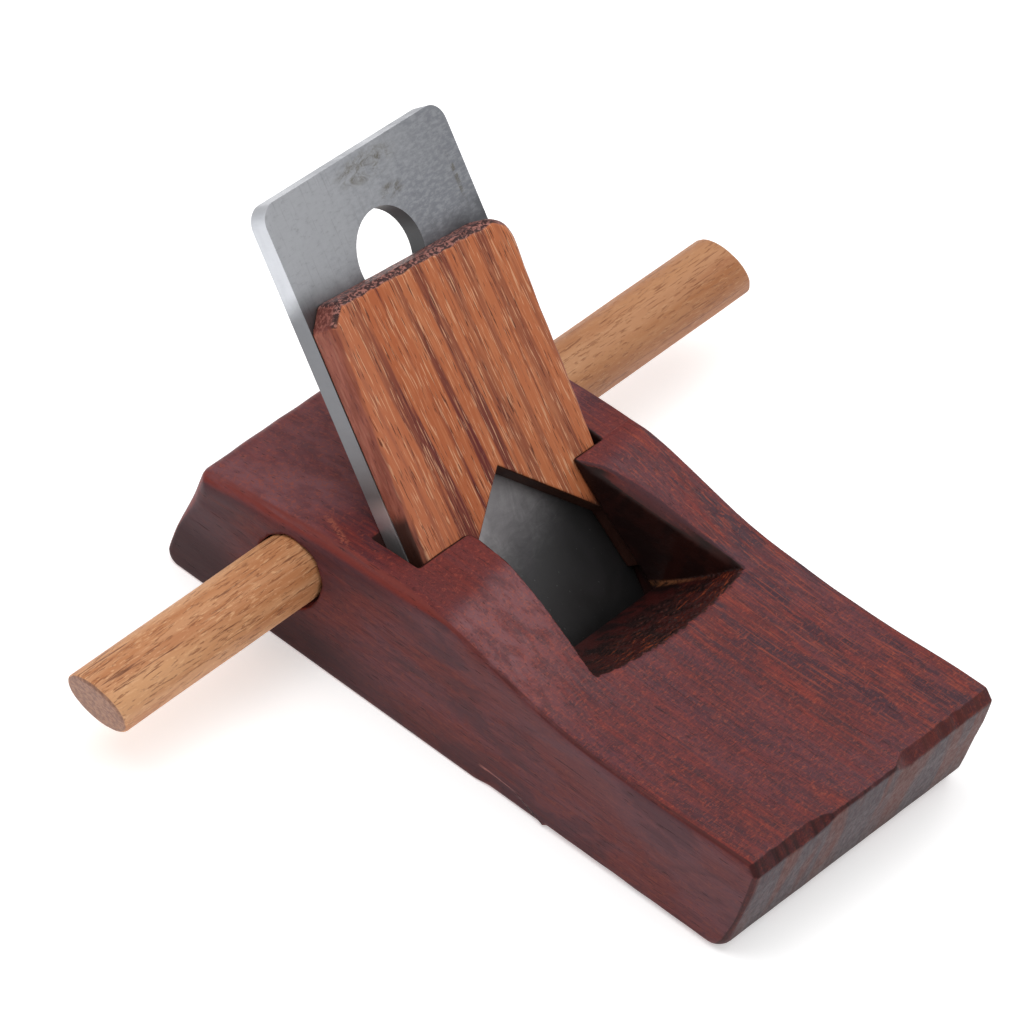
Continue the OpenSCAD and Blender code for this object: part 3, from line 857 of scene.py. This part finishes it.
def tan_wood():
    """Pale tan dowel with fine straight pores along its length."""
    m = Look("tan_wood")
    tone = m.noise(m.grains(5, 50, 5, (2, 0, 5)), 3, 0.5, 0.3)
    line = m.noise(m.grains(0.8, 24, 0.8, (5, 1, 2)), 4, 0.6, 0.15)
    wood = m.mix(m.step(tone, 0.38, 0.62), srgb(188, 124, 80), srgb(218, 162, 116))
    wood = m.mix(m.step(line, 0.4, 0.7, 0, 0.55), wood, srgb(214, 160, 118))
    pale = m.step(m.noise(m.grains(0.35, 2.4, 0.35, (1, 5, 2)), 3, 0.7), 0.54, 0.66)
    wood = m.tint(wood, srgb(232, 182, 136), pale, 0.6)
    pore = m.step(m.noise(m.grains(0.34, 3.4, 0.34, (4, 4, 4)), 3, 0.6), 0.56, 0.64)
    wood = m.tint(wood, srgb(132, 76, 45), pore, 0.6)
    dark = m.step(m.noise(m.grains(0.5, 13, 0.5, (8, 1, 3)), 3, 0.6), 0.6, 0.68)
    wood = m.tint(wood, srgb(106, 56, 33), dark, 0.75)
    # painted shadow of the iron and the wedge on the handle's far part, beyond y = 20 mm
    wood = m.mix(m.step(m.along(0, 1, 0), 20, 45, 0, 0.5), wood, srgb(150, 94, 56))
    fy = m.facing()["Y"]
    dots = m.step(m.noise(m.grains(0.7, 3, 0.7, (3, 3, 3)), 2, 0.6), 0.4, 0.62)
    end = m.mix(dots, srgb(132, 94, 78), srgb(160, 118, 96))
    wood = m.mix(m.step(m.size(fy), 0.55, 0.8), wood, end)
    height = m.math("SUBTRACT", m.both(line, 0.5), pore)
    return m.finish(wood, m.step(line, 0.3, 0.7, 0.5, 0.6), m.bump(height, 0.06, 0.7), specular=0.3)


# brown stains on the iron: distance up the bed, place across, half height and half width
STAINS = ((83.0, 2.0, 2.2, 7.0), (77.8, 5.0, 1.2, 3.0), (74.2, 19.2, 4.6, 0.5))
STAINED_R2 = 64


def worn_steel():
    """Ground steel: fine cross-hatched grinding and brown stains, with painted shade across the plate,
    soot and painted shade by the wedge, painted shade in the hole and the throat, and painted highlight
    on the side faces.
    """
    m = Look("worn_steel", bed=True)
    _, fy, fz = m.facing()
    up = m.along(-1, 0, 0)
    hatch = m.noise(m.grains(0.6, 1.6, 2), 4, 0.7)
    brush = m.noise(m.grains(9, 0.4, 3, (3, 1, 1)), 3, 0.6)
    cloud = m.noise(m.grains(18, 12, 20, (2, 5, 1)), 5, 0.65, 0.6)
    # painted shade and reflection: the plate grows darker across toward the far side, clouded
    shade = m.math("ADD", m.along(0.35, 1, 0, 25), m.both(m.math("SUBTRACT", cloud, 0.5), 50))
    steel = m.mix(m.step(shade, -24, 22), (0.56, 0.57, 0.6, 1), (0.3, 0.31, 0.34, 1))
    steel = m.tint(steel, (0.62, 0.63, 0.66, 1), m.step(hatch, 0.42, 0.66), 0.35)
    steel = m.tint(steel, (0.26, 0.26, 0.28, 1), m.step(hatch, 0.46, 0.3), 0.3)
    steel = m.tint(steel, (0.24, 0.24, 0.26, 1), m.step(brush, 0.44, 0.3), 0.25)
    # painted highlight: the narrow side faces of the plate are lightened
    steel = m.tint(steel, (0.62, 0.64, 0.68, 1), m.step(m.size(fy), 0.5, 0.8), 0.7)
    # brown stains along the top edge, above the hole and near the far edge
    speck = m.noise(m.grains(1.6, 3.4, 3, (11, 4, 3)), 5, 0.75, 0.8)
    spots = None
    for spot_up, spot_y, tall, wide in STAINS:
        reach = m.math("ADD", m.math("POWER", m.along(-1 / tall, 0, 0, -spot_up / tall), 2),
                       m.math("POWER", m.along(0, 1 / wide, 0, -spot_y / wide), 2))
        spot = m.step(reach, 1.5, 0.1)
        spots = spot if spots is None else m.math("MAXIMUM", spots, spot)
    stain_and_shade = m.both(spots, m.step(speck, 0.4, 0.66), 0.8)
    steel = m.mix(stain_and_shade, steel, (0.15, 0.125, 0.075, 1))
    # soot and painted shade along the wedge's upper end, and painted shade on the wall of the hole (by
    # the square of its radius)
    soot_and_shade = m.step(m.math("ADD", up, m.both(cloud, 8)), WEDGE_TOP_UP + 8.5, WEDGE_TOP_UP + 3.0)
    steel = m.tint(steel, (0.07, 0.07, 0.075, 1), soot_and_shade, 0.75)
    from_hole = m.math("ADD", m.math("POWER", m.along(1, 0, 0, IRON_HOLE_UP), 2),
                       m.math("POWER", m.along(0, 1, 0), 2))
    wall = m.both(m.step(from_hole, STAINED_R2, STAINED_R2 - 6), m.step(m.size(fz), 0.7, 0.4))
    steel = m.tint(steel, (0.05, 0.05, 0.05, 1), wall, 0.9)
    # painted shade and reflection: the part seen in the throat is grey, darkened toward the edge and the
    # far cheek, clouded
    low = m.step(up, 40, 36)
    painted_throat_shade = m.math("ADD", m.along(-1, -0.35, 0, -22), m.both(m.math("SUBTRACT", speck, 0.5), 8))
    painted_throat_shade = m.mix(m.step(painted_throat_shade, -7, 12), (0.11, 0.108, 0.11, 1), (0.62, 0.59, 0.6, 1))
    steel = m.mix(low, steel, painted_throat_shade)
    grit = m.both(m.step(m.noise(m.grains(0.7, 0.7, 2), 2, 0.5), 0.7, 0.76), low)
    steel = m.tint(steel, (0.45, 0.45, 0.45, 1), grit, 0.4)
    steel = m.tint(steel, (0.12, 0.11, 0.12, 1), m.step(cloud, 0.45, 0.6), low, 0.35)
    rough = m.step(cloud, 0.3, 0.7, 0.38, 0.5)
    return m.finish(steel, rough, m.bump(m.math("ADD", hatch, brush), 0.015, 0.6), metal=0.9)


# the stage, in metres, watts and degrees
FLOOR_HALF = 6.0
FLOOR_GLOW = 0.42
SKY_LOW, SKY_HIGH = 0.25, 0.85
LIGHT_SIZE = 0.6
LIGHT_AIM = (0, 0, 0.015)
CAMERA_LENS = 239.7
CAMERA_PLACE = (0.32213, -0.71142, 0.66996)
CAMERA_TURN = (49.057, -13.859, 37.17)


def pale_floor():
    """Nearly white floor that glows a little, so it stays pale under the object."""
    m = Look("pale_floor")
    shade = m.noise(m.grains(400, 400, 400), 2, 0.5)
    colour = m.mix(m.step(shade, 0.3, 0.7), (0.9, 0.9, 0.9, 1), (0.92, 0.92, 0.92, 1))
    m.shader.inputs["Emission Color"].default_value = (1, 1, 1, 1)
    m.shader.inputs["Emission Strength"].default_value = FLOOR_GLOW
    return m.finish(colour, 0.9, specular=0.1)


# ---------------------------------------------------------------- pieces
PIECES = (
    (make_body, rosewood, "body", "body_wood"),
    (make_iron, worn_steel, "iron", "iron_steel"),
    (make_wedge, wedge_wood, "wedge", "wedge_wood"),
    (make_handle, tan_wood, "cross_handle", "handle_wood"),
)
for make, look, node, slot in PIECES:
    piece = make()
    piece.data.materials.append(look())
    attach(piece, node)
    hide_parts(node)


# ---------------------------------------------------------------- floor, light and camera
def add(name, data, location=(0, 0, 0), turn=(0, 0, 0)):
    """Puts new data into the scene, with its turn in degrees."""
    thing = bpy.data.objects.new(name, data)
    thing.location = location
    thing.rotation_euler = [math.radians(a) for a in turn]
    bpy.context.scene.collection.objects.link(thing)
    return thing


def soft_light(name, place, power):
    """Square soft light that looks at the middle of the plane."""
    lamp = bpy.data.lights.new(name, "AREA")
    lamp.size = LIGHT_SIZE
    lamp.energy = power
    thing = add(name, lamp, place)
    aim = Vector(LIGHT_AIM) - Vector(place)
    thing.rotation_euler = aim.to_track_quat("-Z", "Y").to_euler()


def studio_sky(tree, low, high):
    """White surroundings, dim at the horizon and brighter overhead."""
    place = tree.nodes.new("ShaderNodeTexCoord")
    axes = tree.nodes.new("ShaderNodeSeparateXYZ")
    fade = tree.nodes.new("ShaderNodeMapRange")
    tree.links.new(place.outputs["Generated"], axes.inputs["Vector"])
    tree.links.new(axes.outputs["Z"], fade.inputs["Value"])
    fade.inputs["To Min"].default_value = low
    fade.inputs["To Max"].default_value = high
    back = tree.nodes["Background"]
    back.inputs["Color"].default_value = (1, 1, 1, 1)
    tree.links.new(fade.outputs["Result"], back.inputs["Strength"])


floor_mesh = bpy.data.meshes.new("floor")
floor_mesh.from_pydata(
    [(x * FLOOR_HALF, y * FLOOR_HALF, 0) for x, y in ((-1, -1), (1, -1), (1, 1), (-1, 1))],
    [], [(0, 1, 2, 3)],
)
floor = add("floor", floor_mesh)
floor.data.materials.append(pale_floor())

scene = bpy.context.scene
scene.view_settings.view_transform = "Standard"
scene.world = bpy.data.worlds.new("studio")
scene.world.use_nodes = True
studio_sky(scene.world.node_tree, SKY_LOW, SKY_HIGH)
soft_light("key", (-0.35, -0.35, 0.9), 3.0)
soft_light("back", (0.0, 0.8, 0.75), 2.5)

camera = bpy.data.cameras.new("camera")
camera.lens = CAMERA_LENS
camera.sensor_width = 36
camera.clip_end = 10
scene.camera = add("camera", camera, CAMERA_PLACE, CAMERA_TURN)
